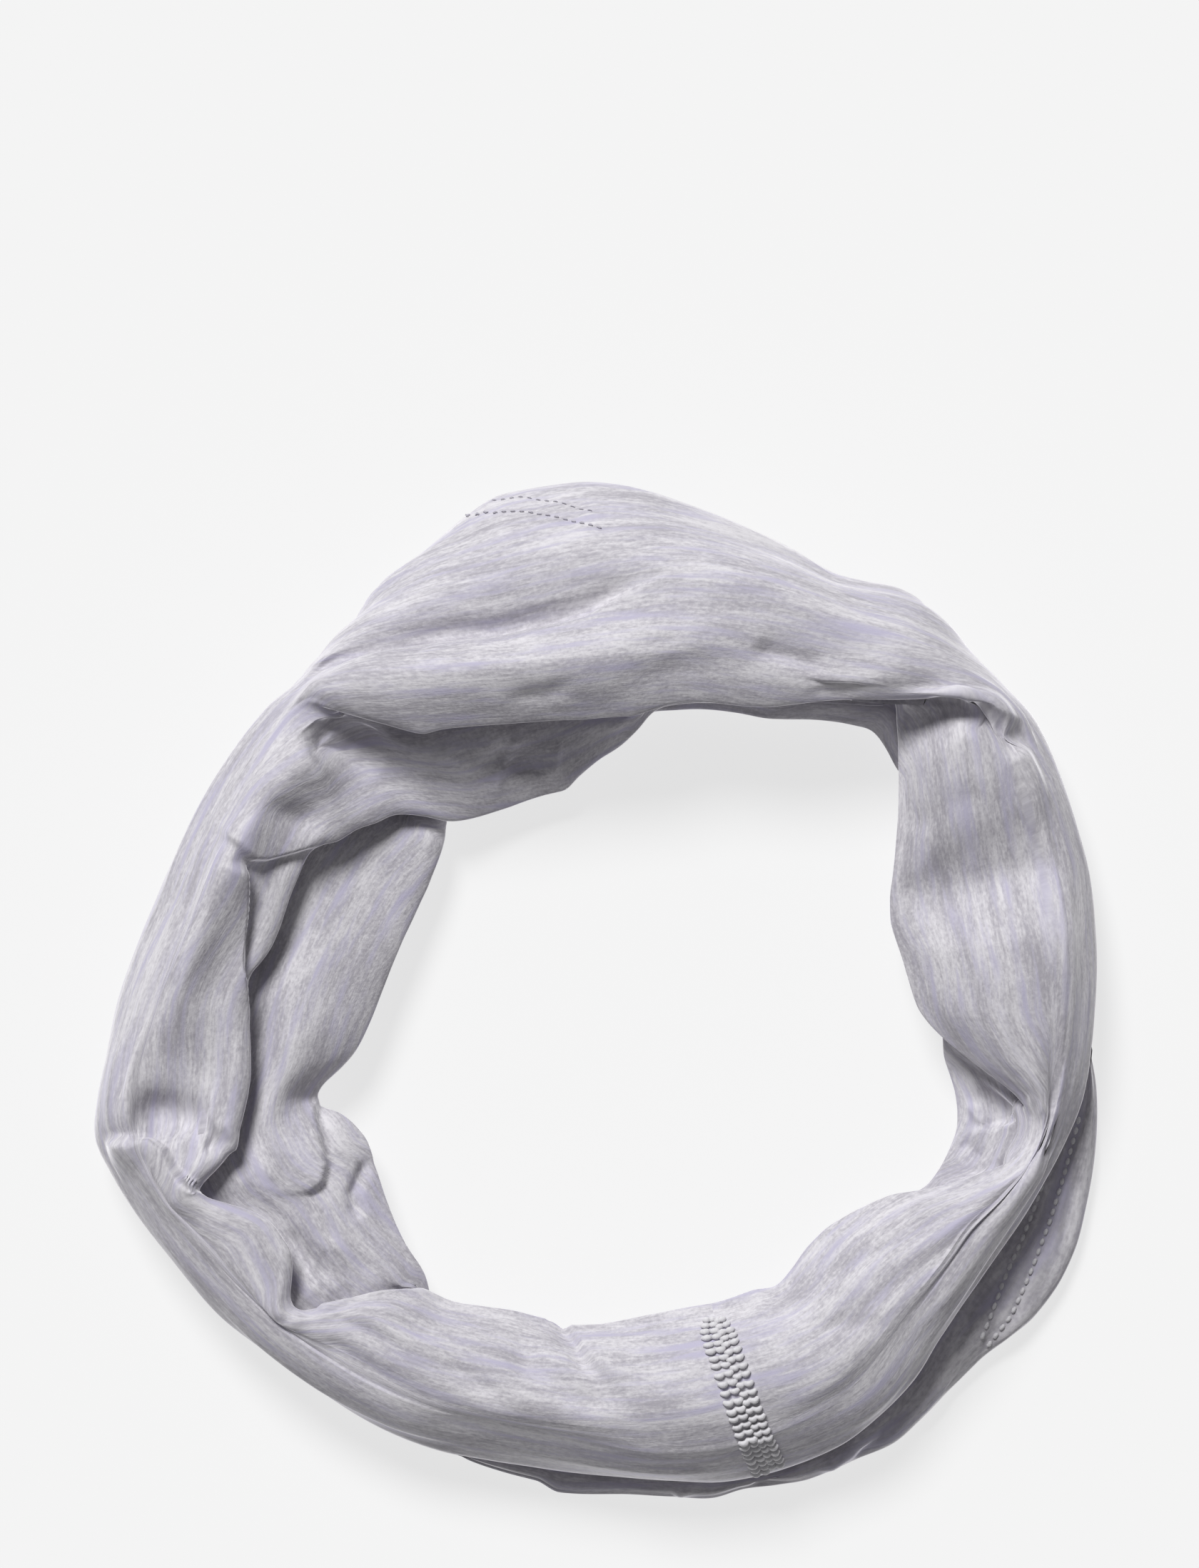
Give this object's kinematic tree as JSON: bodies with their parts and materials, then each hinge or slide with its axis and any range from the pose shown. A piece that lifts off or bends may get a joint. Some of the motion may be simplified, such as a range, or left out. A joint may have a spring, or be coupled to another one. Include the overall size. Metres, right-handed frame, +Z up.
{
  "type": "neck tube",
  "caption": "Soft seamed tube of heathered light grey jersey, scrunched down into a low ring of layered folds and lying on a table with its neck opening upward.",
  "frame": {"origin": "centre of the part's outline, seen from above, at the height of the table it lies on", "axes": "+Z straight up out of the table; -Y towards the side that has the flatlock seam and the loose hem; +X to the right as seen from that side"},
  "size_m": [0.1952, 0.1978, 0.0333],
  "materials": {
    "heathered_jersey": "matte",
    "seam_thread": "matte"
  },
  "bodies": {
    "root": {"hidden_folds": "heathered_jersey", "upper_outer_stretch": "heathered_jersey", "front_roll_stretch": "heathered_jersey", "right_upper_stretch": "heathered_jersey", "inner_top_stretch": "heathered_jersey", "upper_left_stretch": "heathered_jersey", "left_stretch": "heathered_jersey", "lower_left_stretch": "heathered_jersey", "bottom_stretch": "heathered_jersey", "right_stretch": "heathered_jersey", "left_inner_stretch": "heathered_jersey", "lower_left_inner_stretch": "heathered_jersey", "right_inner_stretch": "heathered_jersey", "top_inner_stretch": "heathered_jersey", "outer_hem_stretch": "heathered_jersey", "flatlock_seam": "seam_thread"}
  },
  "joints": []
}
